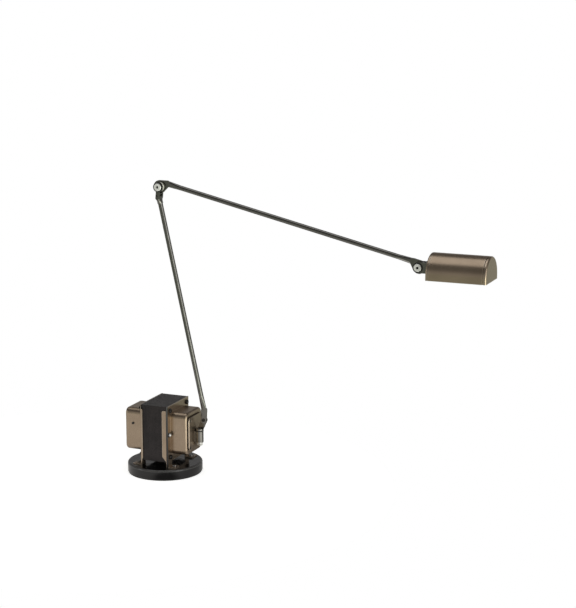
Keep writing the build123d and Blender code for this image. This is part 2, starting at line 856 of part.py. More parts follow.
write(end_plate.part, "end_plate")

with BuildPart() as plate_screws:
    with BuildSketch(end_plane(plate_front, 1)):
        with GridLocations(2 * plate_screw_y, 2 * plate_screw_z, 2, 2):
            Circle(plate_screw_radius)
    extrude(amount=-plate_thickness - gasket_thickness - sheet - plate_screw_tail)
    with Locations(end_plane(plate_front, 1)):
        with GridLocations(2 * plate_screw_y, 2 * plate_screw_z, 2, 2):
            Cone(
                plate_screw_radius,
                plate_screw_head_radius,
                plate_screw_cone,
                align=(Align.CENTER, Align.CENTER, Align.MAX),
            )
write(plate_screws.part, "plate_screws")

# Upright bearing barrel with a saddle against the end plate.
with BuildPart() as swivel_barrel:
    with BuildSketch(Plane.XY.offset(barrel_low)):
        with Locations((swivel_x, 0)):
            Circle(barrel_radius)
        with Locations(((plate_front + swivel_x) / 2, 0)):
            Rectangle(swivel_x - plate_front, 2 * barrel_saddle_half_width)
        with Locations((swivel_x, 0)):
            Circle(swivel_pin_radius + running_fit, mode=Mode.SUBTRACT)
    extrude(amount=barrel_high - barrel_low)
    with BuildSketch(end_plane(plate_front, 1)):
        with Locations((0, barrel_middle)):
            with GridLocations(1, barrel_screw_spread, 1, 2):
                Circle(barrel_screw_radius)
    extrude(amount=barrel_screw_bite, mode=Mode.SUBTRACT)
write(swivel_barrel.part, "swivel_barrel")

# Two screws from inside the right bell hold the barrel, the plate and the gasket together.
with BuildPart() as barrel_screws:
    with BuildSketch(end_plane(right_end_x - sheet, -1)):
        with Locations((0, barrel_middle)):
            with GridLocations(1, barrel_screw_spread, 1, 2):
                Circle(barrel_screw_head_radius)
    extrude(amount=barrel_screw_head_height)
    with BuildSketch(end_plane(right_end_x - sheet, 1)):
        with Locations((0, barrel_middle)):
            with GridLocations(1, barrel_screw_spread, 1, 2):
                Circle(barrel_screw_radius - running_fit)
    extrude(amount=plate_front - right_end_x + sheet + barrel_screw_bite - running_fit)
write(barrel_screws.part, "barrel_screws")

# Washer between barrel and bracket; below the barrel a spring washer and a nut on the pin.
foot_low = barrel_high + swivel_washer_thickness
foot_high = foot_low + swivel_foot_thickness
spring_high = barrel_low - face_gap
nut_high = spring_high - spring_washer_thickness
pin_low = nut_high - swivel_nut_thickness - swivel_pin_tail
with BuildPart() as swivel_washer:
    with BuildSketch(Plane.XY.offset(barrel_high + face_gap)):
        with Locations((swivel_x, 0)):
            Circle(swivel_washer_radius)
            Circle(swivel_pin_radius + running_fit, mode=Mode.SUBTRACT)
    extrude(amount=swivel_washer_thickness - face_gap)
write(swivel_washer.part, "swivel_washer")

with BuildPart() as swivel_pin:
    with BuildSketch(Plane.XY.offset(pin_low)):
        with Locations((swivel_x, 0)):
            Circle(swivel_pin_radius)
    extrude(amount=foot_high - face_gap - pin_low)
write(swivel_pin.part, "swivel_pin")

with BuildPart() as spring_washer:
    with BuildSketch(Plane.XY.offset(nut_high)):
        with Locations((swivel_x, 0)):
            Circle(spring_washer_radius)
            Circle(swivel_pin_radius + running_fit, mode=Mode.SUBTRACT)
    extrude(amount=spring_washer_thickness)
write(spring_washer.part, "spring_washer")

with BuildPart() as swivel_nut:
    with BuildSketch(Plane.XY.offset(nut_high - swivel_nut_thickness)):
        with Locations((swivel_x, 0)):
            RegularPolygon(swivel_nut_radius, 6)
            Circle(swivel_pin_radius + running_fit, mode=Mode.SUBTRACT)
    extrude(amount=swivel_nut_thickness)
write(swivel_nut.part, "swivel_nut")

# Bent bracket: a round foot on the pin and a leaning ear behind the arm's flat end.
ear_front = ear_half + tilt_washer_thickness
ear_back = ear_front + swivel_ear_thickness
with BuildPart() as swivel_bracket:
    with BuildSketch(Plane.XY.offset(foot_low)):
        with Locations((swivel_x, 0)):
            Circle(swivel_foot_radius)
    extrude(amount=swivel_foot_thickness)
    with BuildSketch(upright(ear_back)):
        with Locations((base_pivot.X, base_pivot.Z)):
            Circle(flat_half_width)
        with Locations((swivel_x, (foot_low + foot_high) / 2)):
            Rectangle(2 * swivel_ear_root, swivel_foot_thickness)
        make_hull()
        with Locations((base_pivot.X, base_pivot.Z)):
            Circle(tilt_screw_radius + running_fit, mode=Mode.SUBTRACT)
    extrude(amount=swivel_ear_thickness)
    with BuildSketch(Plane.XY.offset(foot_low)):
        with Locations((swivel_x, 0)):
            Circle(swivel_pin_radius + running_fit)
    extrude(amount=swivel_foot_thickness, mode=Mode.SUBTRACT)
write(swivel_bracket.part, "swivel_bracket")

# Tilt joint: low domed screw at the front, thin washer, flat nut at the back.
tilt_washer_front = ear_half + face_gap
tilt_bore = tilt_screw_radius + running_fit
write(ring(base_pivot, tilt_washer_front, ear_front, tilt_washer_radius, tilt_bore), "tilt_washer")

tilt_end = ear_back + tilt_nut_thickness
with BuildPart() as tilt_screw:
    with BuildSketch(upright(-ear_half - face_gap)):
        with Locations((base_pivot.X, base_pivot.Z)):
            Circle(tilt_head_radius)
    extrude(amount=tilt_head_height)
    with BuildSketch(upright(tilt_end)):
        with Locations((base_pivot.X, base_pivot.Z)):
            Circle(tilt_screw_radius)
    extrude(amount=tilt_end + ear_half + face_gap)
write(tilt_screw.part, "tilt_screw")

with BuildPart() as tilt_nut:
    with BuildSketch(upright(tilt_end)):
        with Locations((base_pivot.X, base_pivot.Z)):
            RegularPolygon(tilt_nut_radius, 6)
            Circle(tilt_bore, mode=Mode.SUBTRACT)
    extrude(amount=tilt_nut_thickness)
write(tilt_nut.part, "tilt_nut")

# ---------------------------------------------------------------- lower arm and elbow
# The tube stands on its flattened foot and ends under the elbow fork's neck.
sleeve_bore = sleeve_radius + running_fit
end_length = flat_length + taper_length
lower_tube_start = lower_foot + lower_axis * end_length
lower_tube_length = lower_length - fork_throat - end_length
lower_tube = arm_tube(lower_tube_start, lower_axis, lower_tube_length)
lower_spoon = flattened_end(
    base_pivot, lower_foot, lower_axis, flat_half_width, tilt_bore, flat_length
)
with BuildPart() as lower_arm:
    add(lower_tube)
    add(lower_spoon)
write(lower_arm.part, "lower_arm")

lower_lead_start = lower_tube_start + lower_axis * lead_end_gap
lower_lead_length = lower_tube_length - fork_spigot_length - 2 * lead_end_gap
write(lead(lower_lead_start, lower_axis, lower_lead_length), "lower_lead")

# Fork on the lower tube's top: spigot in the tube, neck, block and two cheeks.
fork_shoulder = lower_top - lower_axis * fork_throat
fork_block = lower_top - lower_axis * fork_root
stop_place = lower_top - lower_axis * stop_pin_distance
with BuildPart() as elbow_fork:
    with BuildSketch(across_arm(fork_shoulder, lower_axis)):
        Circle(fork_neck_radius)
    with BuildSketch(across_arm(fork_block, lower_axis)):
        RectangleRounded(2 * joint_half, 2 * fork_shank_radius, fork_block_corner)
    loft()
    with BuildSketch(across_arm(fork_shoulder, lower_axis)):
        Circle(tube_bore_radius - running_fit)
    extrude(amount=-fork_spigot_length)
    for back in (-fork_inner_half, joint_half):
        with BuildSketch(upright(back)):
            with Locations((elbow.X, elbow.Z), (fork_block.X, fork_block.Z)):
                Circle(fork_shank_radius)
            make_hull()
            with Locations((elbow.X, elbow.Z)):
                Circle(ear_radius)
                Circle(sleeve_bore, mode=Mode.SUBTRACT)
        extrude(amount=ear_thickness)
    with BuildSketch(upright(joint_half)):
        with Locations((stop_place.X, stop_place.Z)):
            Circle(stop_pin_radius)
    extrude(amount=2 * joint_half, mode=Mode.SUBTRACT)
write(elbow_fork.part, "elbow_fork")

stop_end = joint_half + stop_pin_overhang
with BuildPart() as stop_pin:
    with BuildSketch(upright(stop_end)):
        with Locations((stop_place.X, stop_place.Z)):
            Circle(stop_pin_radius - stop_pin_fit)
    extrude(amount=2 * stop_end)
write(stop_pin.part, "stop_pin")

write(connector_bolt(elbow), "elbow_bolt")
write(sleeve_nut(elbow), "elbow_sleeve_nut")
write(joint_spacers(elbow), "elbow_spacers")
write(bolt_washers(elbow), "elbow_washers")

# ---------------------------------------------------------------- upper arm and head joint
ear_reach = ear_neck_length + taper_length
upper_tube_start = upper_start + upper_axis * ear_reach
upper_tube_length = upper_length - 2 * ear_reach
upper_tube = arm_tube(upper_tube_start, upper_axis, upper_tube_length)
elbow_ear = flattened_end(
    elbow, upper_start, upper_axis, arm_ear_radius, sleeve_bore, ear_neck_length
)
head_ear = flattened_end(head, upper_end, -upper_axis, arm_ear_radius, sleeve_bore, ear_neck_length)
with BuildPart() as upper_arm:
    add(upper_tube)
    add(elbow_ear)
    add(head_ear)
write(upper_arm.part, "upper_arm")

upper_lead_start = upper_tube_start + upper_axis * lead_end_gap
write(lead(upper_lead_start, upper_axis, upper_tube_length - 2 * lead_end_gap), "upper_lead")

write(connector_bolt(head), "head_bolt")
write(sleeve_nut(head), "head_sleeve_nut")
write(joint_spacers(head), "head_spacers")
write(bolt_washers(head), "head_washers")

# Fork at the head: two cheeks on a web that carries the hollow roll spindle.
web_middle = (web_start + web_end) / 2
nut_start = shade_start + cap_wall + face_gap
spindle_end = nut_start + roll_nut_thickness + spindle_tail
with BuildPart() as head_fork:
    with BuildSketch(upright(fork_web_half_width)):
        with Locations((web_middle, head.Z)):
            Rectangle(fork_web_thickness, 2 * fork_web_half_height)
    extrude(amount=2 * fork_web_half_width)
    for back in (-fork_inner_half, joint_half):
        with BuildSketch(upright(back)):
            with Locations((head.X, head.Z)):
                Circle(ear_radius)
            with Locations((web_middle, head.Z)):
                Rectangle(fork_web_thickness, 2 * fork_web_half_height)
            make_hull()
            with Locations((head.X, head.Z)):
                Circle(sleeve_bore, mode=Mode.SUBTRACT)
        extrude(amount=ear_thickness)
    with BuildSketch(facing_right(web_end)):
        with Locations((0, head.Z)):
            Circle(spindle_radius)
    extrude(amount=spindle_end - web_end)
    with BuildSketch(facing_right(web_start)):
        with Locations((0, head.Z)):
            Circle(spindle_bore_radius)
    extrude(amount=spindle_end - web_start, mode=Mode.SUBTRACT)
write(head_fork.part, "head_fork")

with BuildPart() as roll_washer:
    with BuildSketch(facing_right(web_end)):
        with Locations((0, head.Z)):
            Circle(roll_washer_radius)
            Circle(spindle_radius + running_fit, mode=Mode.SUBTRACT)
    extrude(amount=shade_start - web_end - face_gap)
write(roll_washer.part, "roll_washer")

with BuildPart() as roll_nut:
    with BuildSketch(facing_right(nut_start)):
        with Locations((0, head.Z)):
            RegularPolygon(roll_nut_radius, 6)
            Circle(spindle_radius + running_fit, mode=Mode.SUBTRACT)
    extrude(amount=roll_nut_thickness)
write(roll_nut.part, "roll_nut")

# ---------------------------------------------------------------- shade
body_start = shade_start + cap_rim + left_seam
body_end = shade_end - cap_rim - right_seam
spigot_inset = shade_sheet + cap_fit
hollow_inset = spigot_inset + shade_sheet


def shade_slice(x, inset):
    """Section of the shade at x: a half circle on two straight sides, drawn this far inside."""
    radius = shade_radius - inset
    with BuildSketch(facing_right(x)) as section:
        with BuildLine():
            Line((-radius, shade_floor), (radius, shade_floor))
            Line((radius, shade_floor), (radius, shade_centre_z))
            ThreePointArc(
                (radius, shade_centre_z), (0, shade_centre_z + radius), (-radius, shade_centre_z)
            )
            Line((-radius, shade_centre_z), (-radius, shade_floor))
        make_face()
    return section.sketch


# Rolled body, open underneath.
body_outside = shade_slice(body_start, 0)
body_inside = shade_slice(body_start, shade_sheet)
with BuildPart() as shade_body:
    extrude(body_outside, amount=body_end - body_start)
    extrude(body_inside, amount=body_end - body_start, mode=Mode.SUBTRACT)
write(shade_body.part, "shade_body")


def end_cap(end_x, side):
    """Pressed end cap: a rounded rim round a flat wall, and a spigot that enters the body."""
    outside = shade_slice(end_x, 0)
    spigot = shade_slice(end_x - side * cap_rim, spigot_inset)
    hollow = shade_slice(end_x - side * cap_wall, hollow_inset)
    with BuildPart() as made:
        extrude(outside, amount=-side * cap_rim)
        outer_face = made.faces().filter_by(Axis.X).sort_by(Axis.X)[-1 if side > 0 else 0]
        fillet(outer_face.edges().sort_by(Axis.Z)[1:], cap_edge)
        extrude(spigot, amount=-side * cap_spigot)
        extrude(hollow, amount=-side * (cap_rim + cap_spigot - cap_wall), mode=Mode.SUBTRACT)
    return made.part


# Left cap: bearing hole of the roll spindle and two rivet holes for the holder's strap.
strap_top = head.Z + holder_rise + holder_height / 2 + strap_thickness
strap_rivet_z = strap_top - strap_rivet_drop
left_cap_blank = end_cap(shade_start, -1)
with BuildPart() as left_cap:
    add(left_cap_blank)
    with BuildSketch(facing_right(shade_start)):
        with Locations((0, head.Z)):
            Circle(spindle_radius + running_fit)
        with Locations((0, strap_rivet_z)):
            with GridLocations(strap_rivet_spread, 1, 2, 1):
                Circle(strap_rivet_radius)
    extrude(amount=cap_wall, mode=Mode.SUBTRACT)
write(left_cap.part, "left_cap")

write(end_cap(shade_end, 1), "right_cap")

# Reflector sheet, sprung inside the two spigots.
reflector_start = shade_start + cap_rim + cap_spigot - reflector_tuck
reflector_end = shade_end - cap_rim - cap_spigot + reflector_tuck
reflector_inset = hollow_inset + face_gap
reflector_length = reflector_end - reflector_start
reflector_outside = shade_slice(reflector_start, reflector_inset)
reflector_inside = shade_slice(reflector_start, reflector_inset + reflector_sheet)
with BuildPart() as reflector:
    extrude(reflector_outside, amount=reflector_length)
    extrude(reflector_inside, amount=reflector_length, mode=Mode.SUBTRACT)
    with BuildSketch(Plane.XY.offset(shade_floor)):
        with Locations((reflector_start + reflector_length / 2, 0)):
            Rectangle(shade_length, 2 * shade_radius)
    extrude(amount=reflector_side_cut, mode=Mode.SUBTRACT)
write(reflector.part, "reflector")

# ---------------------------------------------------------------- lamp holder and capsule
strap_start = shade_start + cap_wall
holder_start = spindle_end + holder_setback
holder_end = holder_start + holder_length
holder_mid = holder_start + holder_length / 2
capsule_z = head.Z + holder_rise
holder_top = capsule_z + holder_height / 2
with BuildPart() as holder_strap:
    with BuildSketch(upright(strap_width / 2)):
        with BuildLine():
            Polyline(
                (strap_start, strap_top),
                (holder_end, strap_top),
                (holder_end, holder_top),
                (strap_start + strap_thickness, holder_top),
                (strap_start + strap_thickness, strap_top - strap_drop),
                (strap_start, strap_top - strap_drop),
                close=True,
            )
        make_face()
    extrude(amount=strap_width)
    with BuildSketch(facing_right(strap_start)):
        with Locations((0, strap_rivet_z)):
            with GridLocations(strap_rivet_spread, 1, 2, 1):
                Circle(strap_rivet_radius)
    extrude(amount=strap_thickness, mode=Mode.SUBTRACT)
    with BuildSketch(Plane.XY.offset(holder_top)):
        with Locations((holder_mid, 0)):
            with GridLocations(holder_screw_spread, 1, 2, 1):
                Circle(holder_screw_radius + rivet_gap)
    extrude(amount=strap_thickness, mode=Mode.SUBTRACT)
write(holder_strap.part, "holder_strap")

with BuildPart() as strap_rivets:
    with BuildSketch(facing_right(shade_start)):
        with Locations((0, strap_rivet_z)):
            with GridLocations(strap_rivet_spread, 1, 2, 1):
                Circle(strap_rivet_head_radius)
    extrude(amount=-strap_rivet_head_height)
    with BuildSketch(facing_right(shade_start)):
        with Locations((0, strap_rivet_z)):
            with GridLocations(strap_rivet_spread, 1, 2, 1):
                Circle(strap_rivet_radius - stop_pin_fit)
    extrude(amount=cap_wall + strap_thickness)
    with BuildSketch(facing_right(strap_start + strap_thickness)):
        with Locations((0, strap_rivet_z)):
            with GridLocations(strap_rivet_spread, 1, 2, 1):
                Circle(strap_rivet_head_radius)
    extrude(amount=strap_rivet_head_height)
write(strap_rivets.part, "strap_rivets")

# Ceramic holder with two contact holes in its end and two lead holes underneath.
with BuildPart() as lamp_holder:
    with BuildSketch(facing_right(holder_start)):
        with Locations((0, capsule_z)):
            RectangleRounded(holder_width, holder_height, holder_edge)
    extrude(amount=holder_length)
    with BuildSketch(facing_right(holder_end)):
        with Locations((0, capsule_z)):
            with GridLocations(capsule_pin_spread, 1, 2, 1):
                Circle(capsule_pin_radius + running_fit)
    extrude(amount=-capsule_pin_length, mode=Mode.SUBTRACT)
    with BuildSketch(Plane.XY.offset(holder_top)):
        with Locations((holder_mid, 0)):
            with GridLocations(holder_screw_spread, 1, 2, 1):
                Circle(holder_screw_radius)
    extrude(amount=-holder_screw_length, mode=Mode.SUBTRACT)
    with BuildSketch(Plane.XY.offset(holder_top - holder_height)):
        with Locations((holder_start + lamp_lead_reach, 0)):
            with GridLocations(1, lamp_lead_spread, 1, 2):
                Circle(lamp_lead_radius + running_fit)
    extrude(amount=lamp_lead_bend, mode=Mode.SUBTRACT)
write(lamp_holder.part, "lamp_holder")

with BuildPart() as holder_screws:
    with BuildSketch(Plane.XY.offset(strap_top)):
        with Locations((holder_mid, 0)):
            with GridLocations(holder_screw_spread, 1, 2, 1):
                Circle(holder_screw_head_radius)
    extrude(amount=holder_screw_head_height)
    with BuildSketch(Plane.XY.offset(strap_top)):
        with Locations((holder_mid, 0)):
            with GridLocations(holder_screw_spread, 1, 2, 1):
                Circle(holder_screw_radius - stop_pin_fit)
    extrude(amount=-strap_thickness - holder_screw_length + hole_end_gap)
write(holder_screws.part, "holder_screws")

# Capsule lamp: flat pinch, round bulb with domed end, two pins.
pinch_start = holder_end + capsule_pinch_gap
pinch_end = pinch_start + capsule_pinch_length
with BuildPart() as capsule:
    with BuildSketch(facing_right(pinch_end)):
        with Locations((0, capsule_z)):
            Circle(capsule_radius)
    extrude(amount=capsule_length)
    fillet(capsule.faces().sort_by(Axis.X)[-1].edges(), capsule_radius - rivet_gap)
    with BuildSketch(facing_right(pinch_start)):
        with Locations((0, capsule_z)):
            RectangleRounded(capsule_pinch_width, capsule_pinch_thickness, holder_edge)
    extrude(amount=capsule_pinch_length)
write(capsule.part, "capsule")

pin_start = holder_end - capsule_pin_length + running_fit
with BuildPart() as capsule_pins:
    with BuildSketch(facing_right(pin_start)):
        with Locations((0, capsule_z)):
            with GridLocations(capsule_pin_spread, 1, 2, 1):
                Circle(capsule_pin_radius)
    extrude(amount=pinch_start - pin_start)
write(capsule_pins.part, "capsule_pins")

# Two leads from the spindle's bore, bent up into the holder's underside.
lead_low = holder_top - holder_height
lead_turn = holder_start + lamp_lead_reach
with BuildPart() as lamp_leads:
    for back in (-lamp_lead_spread / 2, lamp_lead_spread / 2):
        with BuildLine() as path:
            FilletPolyline(
                (web_start, back, head.Z),
                (lead_turn, back, head.Z),
                (lead_turn, back, lead_low + lamp_lead_bend),
                radius=lamp_lead_bend,
            )
        with BuildSketch(Plane(path.wire() @ 0, z_dir=path.wire() % 0)):
            Circle(lamp_lead_radius)
        sweep(path=path.wire())
write(lamp_leads.part, "lamp_leads")
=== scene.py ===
import math
import random

import bmesh
import bpy
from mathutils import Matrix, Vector


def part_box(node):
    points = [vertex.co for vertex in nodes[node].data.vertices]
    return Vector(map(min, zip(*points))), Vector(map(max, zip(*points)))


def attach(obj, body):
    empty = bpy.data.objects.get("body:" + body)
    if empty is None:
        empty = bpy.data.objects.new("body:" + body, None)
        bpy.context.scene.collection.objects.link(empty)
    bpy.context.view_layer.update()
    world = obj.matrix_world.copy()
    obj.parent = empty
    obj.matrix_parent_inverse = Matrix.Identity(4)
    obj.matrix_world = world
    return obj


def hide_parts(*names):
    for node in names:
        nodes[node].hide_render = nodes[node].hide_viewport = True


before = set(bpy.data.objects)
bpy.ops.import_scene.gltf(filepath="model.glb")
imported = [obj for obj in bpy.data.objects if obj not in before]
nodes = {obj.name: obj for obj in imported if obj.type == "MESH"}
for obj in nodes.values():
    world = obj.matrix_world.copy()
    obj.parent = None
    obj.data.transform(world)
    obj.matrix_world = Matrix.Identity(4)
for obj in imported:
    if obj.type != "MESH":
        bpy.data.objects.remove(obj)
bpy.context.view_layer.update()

# ------------------------------------------------------------------ camera
# A long lens that stands a little above the lamp and to its right. Its place, turn and focal
# length were fitted to corners of the foot, the core, the arms and the shade.
focal_length = 106.91
sensor_width = 36.0
camera_place = (1.11055, -2.19165, 0.76073)
camera_tilt = math.radians(78.286)
camera_turn = math.radians(22.602)
view_depth = 50.0

scene = bpy.context.scene
camera_data = bpy.data.cameras.new("camera")
camera_data.sensor_fit = "HORIZONTAL"
camera_data.sensor_width = sensor_width
camera_data.lens = focal_length
camera_data.clip_end = view_depth
camera = bpy.data.objects.new("camera", camera_data)
camera.location = camera_place
camera.rotation_euler = (camera_tilt, 0.0, camera_turn)
scene.collection.objects.link(camera)
scene.camera = camera
scene.view_settings.view_transform = "Standard"

# ------------------------------------------------------------------ table
# A small round table in matt white paint, which the camera and clear glass see as plain white
# with the lamp's shadow on it. Metal mirrors a dimmer one: bright in front of the lamp and at
# its right, dim behind it, with a dark patch beside the foot.
table_radius = 0.42
table_sides = 128
table_middle = (-0.05, -0.1, -0.0002)
table_paint = (0.86, 0.86, 0.85, 1.0)
ground_tone = (1.0, 1.0, 0.99, 1.0)
ground_glow = 0.75
mirrored_tone = (1.0, 0.97, 0.94, 1.0)
front_edge = -0.12
front_level = 0.85
back_edge = 0.12
back_level = 0.2
right_start = 0.12
right_full = 0.24
right_depth = 0.1
right_level = 1.2
patch_middle = (0.036, -0.071, 0.0)
patch_inside = 0.015
patch_outside = 0.045
patch_level = 0.25


def add_node(tree, kind, **settings):
    """One node, with its attributes and its input defaults set by name."""
    made = tree.nodes.new(kind)
    for key, value in settings.items():
        if hasattr(made, key):
            setattr(made, key, value)
        else:
            made.inputs[key.replace("_", " ")].default_value = value
    return made


def feed(tree, value, socket):
    """Link a socket, or set a plain value."""
    if isinstance(value, bpy.types.NodeSocket):
        tree.links.new(value, socket)
    else:
        socket.default_value = value


def maths(tree, operation, first, second=0.0):
    """Math node on sockets or numbers; gives its output socket."""
    made = add_node(tree, "ShaderNodeMath", operation=operation)
    feed(tree, first, made.inputs[0])
    feed(tree, second, made.inputs[1])
    return made.outputs[0]


def ramp(tree, value, start, end, low, high):
    """Smooth step from low to high while the value runs from start to end."""
    made = add_node(tree, "ShaderNodeMapRange", interpolation_type="SMOOTHSTEP")
    for label, setting in (
        ("Value", value),
        ("From Min", start),
        ("From Max", end),
        ("To Min", low),
        ("To Max", high),
    ):
        feed(tree, setting, made.inputs[label])
    return made.outputs[0]


def vectors(tree, operation, first, second=(0.0, 0.0, 0.0)):
    """Vector Math node on sockets or triples; gives its output sockets."""
    made = add_node(tree, "ShaderNodeVectorMath", operation=operation)
    feed(tree, first, made.inputs[0])
    feed(tree, second, made.inputs[1])
    return made.outputs


def axes(tree, vector):
    """Output sockets X, Y and Z of a vector."""
    made = add_node(tree, "ShaderNodeSeparateXYZ")
    feed(tree, vector, made.inputs[0])
    return made.outputs


def own_place(tree):
    """Place of a point in the piece's own coordinates."""
    return add_node(tree, "ShaderNodeTexCoord").outputs["Object"]


def seen_plainly(tree, path):
    """1 for what the camera sees, also through clear glass."""
    camera_ray = path.outputs["Is Camera Ray"]
    return maths(tree, "MAXIMUM", camera_ray, path.outputs["Is Transmission Ray"])


def chosen(tree, mask, plain, other):
    """Output of a shader that turns from the plain one to the other with the mask."""
    made = add_node(tree, "ShaderNodeMixShader")
    feed(tree, mask, made.inputs[0])
    feed(tree, plain.outputs[0], made.inputs[1])
    feed(tree, other.outputs[0], made.inputs[2])
    return made.outputs[0]


table_mesh = bpy.data.meshes.new("table")
shape = bmesh.new()
bmesh.ops.create_circle(shape, cap_ends=True, segments=table_sides, radius=table_radius)
bmesh.ops.translate(shape, verts=shape.verts, vec=table_middle)
shape.to_mesh(table_mesh)
shape.free()
table = bpy.data.objects.new("table", table_mesh)
scene.collection.objects.link(table)

table_white = bpy.data.materials.new("table_white")
table_white.use_nodes = True
tree = table_white.node_tree
tree.nodes.clear()
path = add_node(tree, "ShaderNodeLightPath")
place = own_place(tree)
across = axes(tree, place)
mirrored = ramp(tree, across["Y"], front_edge, back_edge, front_level, back_level)
right = ramp(tree, across["X"], right_start, right_full, 0.0, 1.0)
near = ramp(tree, across["Y"], 0.0, right_depth, right_level, 0.0)
mirrored = maths(tree, "ADD", mirrored, maths(tree, "MULTIPLY", right, near))
from_patch = vectors(tree, "DISTANCE", place, patch_middle)["Value"]
patch = ramp(tree, from_patch, patch_inside, patch_outside, patch_level, 1.0)
mirrored = maths(tree, "MULTIPLY", mirrored, patch)

paint = add_node(tree, "ShaderNodeBsdfDiffuse", Color=table_paint)
glow = add_node(tree, "ShaderNodeEmission", Color=ground_tone)
ground_strength = maths(tree, "MULTIPLY", seen_plainly(tree, path), ground_glow)
feed(tree, ground_strength, glow.inputs["Strength"])
ground = add_node(tree, "ShaderNodeAddShader")
feed(tree, paint.outputs[0], ground.inputs[0])
feed(tree, glow.outputs[0], ground.inputs[1])
card = add_node(tree, "ShaderNodeEmission", Color=mirrored_tone)
feed(tree, mirrored, card.inputs["Strength"])
output = add_node(tree, "ShaderNodeOutputMaterial")
feed(tree, chosen(tree, path.outputs["Is Glossy Ray"], ground, card), output.inputs["Surface"])
table_mesh.materials.append(table_white)

# ------------------------------------------------------------------ room
# White walls to the camera and through clear glass. Metal mirrors them as a soft grey at the
# horizon that darkens towards the ceiling, with one bright part low at the front right.
horizon_top = 0.16
horizon_level = 0.4
ceiling_start = 0.5
ceiling_level = 0.1
bright_left = 0.25
bright_right = 0.7
bright_front = -0.1
bright_back = 0.25
bright_low = -0.05
bright_high = 0.05
bright_level = 3.0
wall_low = -0.05
wall_high = 0.15
wall_low_tone = (0.93, 0.98, 0.84)
wall_high_tone = (1.0, 0.98, 0.97)
plain_white = (1.0, 1.0, 1.0, 1.0)


def tinted(tree, mask, low, high):
    """Colour that runs from low to high with the mask; low may be a socket."""
    made = add_node(tree, "ShaderNodeMix", data_type="RGBA")
    feed(tree, mask, made.inputs["Factor"])
    for label, value in (("A", low), ("B", high)):
        socket = [held for held in made.inputs if held.name == label and held.type == "RGBA"][0]
        feed(tree, value if isinstance(value, bpy.types.NodeSocket) else (*value, 1.0), socket)
    return [held for held in made.outputs if held.type == "RGBA"][0]


world = bpy.data.worlds.new("room")
scene.world = world
world.use_nodes = True
tree = world.node_tree
tree.nodes.clear()
path = add_node(tree, "ShaderNodeLightPath")
across = axes(tree, add_node(tree, "ShaderNodeTexCoord").outputs["Generated"])
level = ramp(tree, across["Z"], horizon_top, ceiling_start, horizon_level, ceiling_level)
right = ramp(tree, across["X"], bright_left, bright_right, 0.0, 1.0)
near = ramp(tree, across["Y"], bright_front, bright_back, bright_level, 0.0)
low = ramp(tree, across["Z"], bright_low, bright_high, 1.0, 0.0)
bright = maths(tree, "MULTIPLY", maths(tree, "MULTIPLY", right, near), low)
height = ramp(tree, across["Z"], wall_low, wall_high, 0.0, 1.0)

wall = add_node(tree, "ShaderNodeBackground")
feed(tree, tinted(tree, height, wall_low_tone, wall_high_tone), wall.inputs["Color"])
feed(tree, maths(tree, "ADD", level, bright), wall.inputs["Strength"])
paper = add_node(tree, "ShaderNodeBackground", Color=plain_white)
output = add_node(tree, "ShaderNodeOutputWorld")
feed(tree, chosen(tree, seen_plainly(tree, path), wall, paper), output.inputs["Surface"])


# ------------------------------------------------------------------ softboxes
# One wide softbox hangs overhead and a smaller one stands at each side, all mirrored in the
# metal. A fill from the front lights the lamp without a reflection.
def soft_lamp(name, place, aim, size, brightness, mirrored=True):
    """Rectangular softbox of this brightness that looks at a point."""
    data = bpy.data.lights.new(name, "AREA")
    data.shape = "RECTANGLE"
    data.size, data.size_y = size
    data.energy = math.pi * size[0] * size[1] * brightness
    made = bpy.data.objects.new(name, data)
    made.location = place
    turn = (Vector(aim) - Vector(place)).to_track_quat("-Z", "Y")
    made.rotation_euler = turn.to_euler()
    made.visible_glossy = mirrored
    scene.collection.objects.link(made)


soft_lamp(
    "overhead_softbox",
    place=(-0.15, 0.0, 1.9),
    aim=(-0.15, 0.0, 0.0),
    size=(1.6, 1.5),
    brightness=1.0,
)
soft_lamp(
    "left_softbox",
    place=(-1.5, -1.1, 0.4),
    aim=(0.0, 0.0, 0.1),
    size=(0.5, 0.7),
    brightness=2.0,
)
soft_lamp(
    "right_softbox",
    place=(1.9, -0.7, 0.7),
    aim=(0.3, 0.0, 0.2),
    size=(0.9, 1.4),
    brightness=2.2,
)
soft_lamp(
    "front_fill",
    place=(0.5, -2.4, 1.2),
    aim=(0.2, 0.0, 0.2),
    size=(1.6, 1.2),
    brightness=1.2,
    mirrored=False,
)

# ------------------------------------------------------------------ iron foot
# The turned disc of cast iron that weighs the lamp down. Its black stoved enamel is glossy and
# a little wavy. Its edges are paler, partly from wear and partly as a painted highlight, and a
# thin grey ring is painted round the upper rim as a highlight.
enamel_deep = (0.002, 0.002, 0.002)
enamel_cloud = (0.005, 0.0045, 0.0045)
enamel_wear_and_highlight = (0.09, 0.085, 0.08)
rim_highlight_grey = (0.1, 0.098, 0.095)
ring_inside = 0.0530
ring_outside = 0.0538
ring_foot = 0.0122
ring_top = 0.0136
ring_least = 0.5
noise_low = 0.3
noise_high = 0.7
wear_gain = 6.0


def value_group(name, inputs, outputs):
    """Empty node group with named inputs, each with its default, and named outputs."""
    group = bpy.data.node_groups.new(name, "ShaderNodeTree")
    for label, kind, value in inputs:
        made = group.interface.new_socket(name=label, in_out="INPUT", socket_type=kind)
        made.default_value = value
    for label in outputs:
        group.interface.new_socket(name=label, in_out="OUTPUT", socket_type="NodeSocketFloat")
    return group, group.nodes.new("NodeGroupInput"), group.nodes.new("NodeGroupOutput")


def opened(tree, noise):
    """Noise, which keeps near the middle, opened out to run from 0 to 1."""
    return ramp(tree, noise.outputs[0], noise_low, noise_high, 0.0, 1.0)


